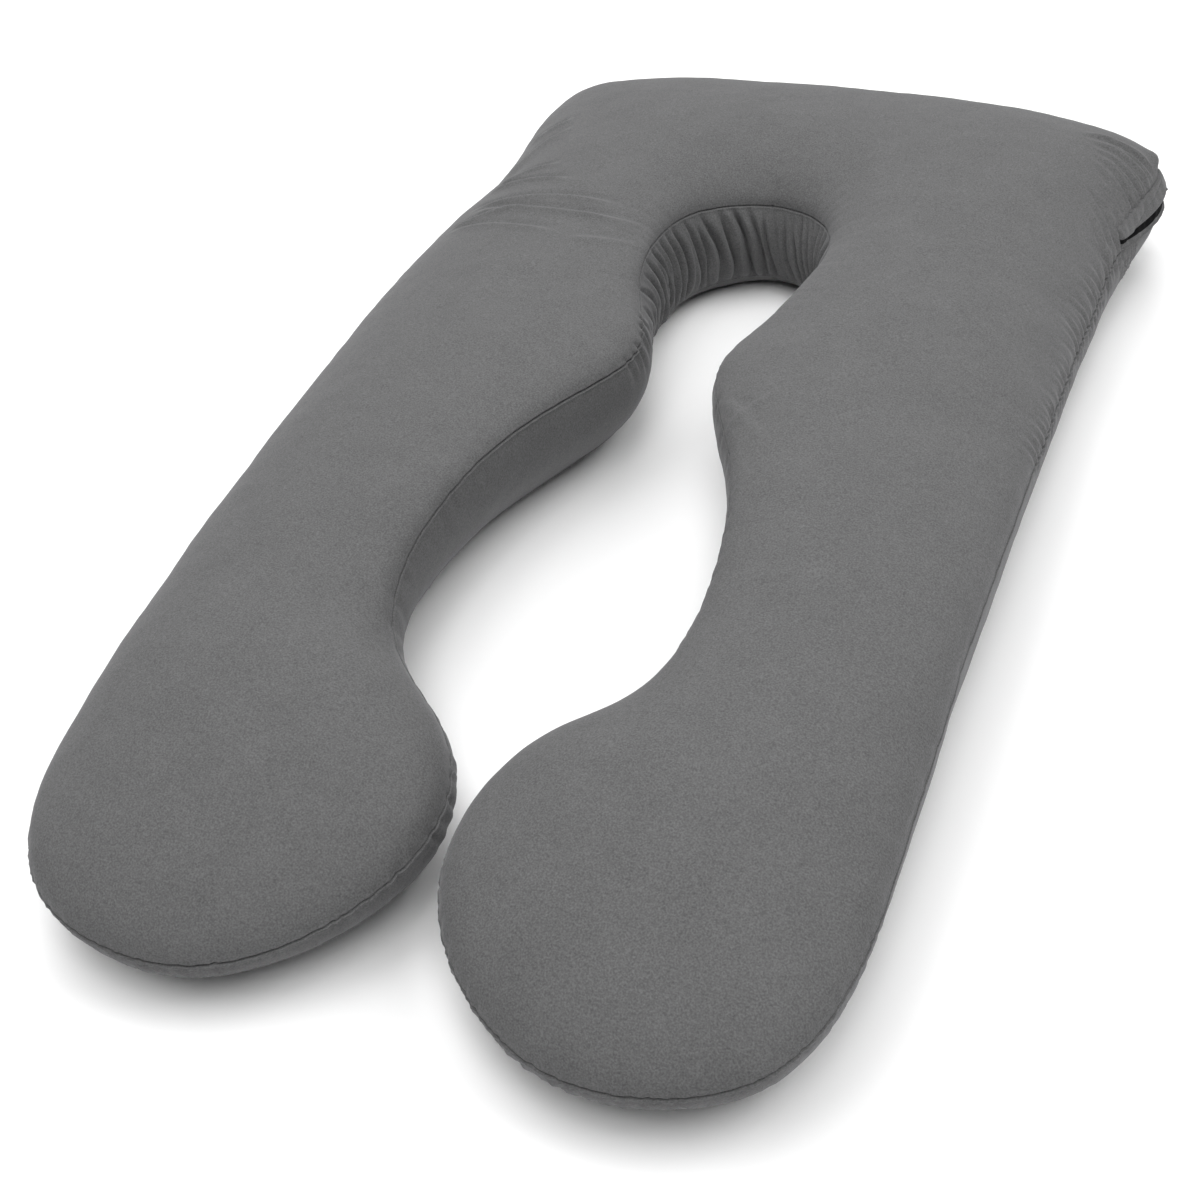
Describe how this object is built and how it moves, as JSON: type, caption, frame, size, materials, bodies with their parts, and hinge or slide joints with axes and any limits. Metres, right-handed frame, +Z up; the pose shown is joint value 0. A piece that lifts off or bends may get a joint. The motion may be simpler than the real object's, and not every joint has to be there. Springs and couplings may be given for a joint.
{
  "type": "body pillow",
  "caption": "U-shaped body pillow in a grey velvet cover, lying flat: wide head with a gathered neck hole, two long legs with rounded feet, and an opening with a flap at one head corner",
  "frame": {"origin": "on the surface it lies on, under the middle of its box", "axes": "+Y from the feet to the head, +X across, towards the side with the opening, +Z up out of the surface"},
  "size_m": [0.8037, 1.3777, 0.1749],
  "materials": {
    "velvet": "short velvet nap",
    "velvet_hem": "short velvet nap, pressed flat",
    "zip_tape": "woven tape",
    "pull": "satin black"
  },
  "bodies": {
    "root": {"pillow": "velvet", "opening_flap": "velvet_hem", "opening_facing": "velvet_hem", "zip_strip": "zip_tape", "zip_pull": "pull"}
  },
  "joints": []
}
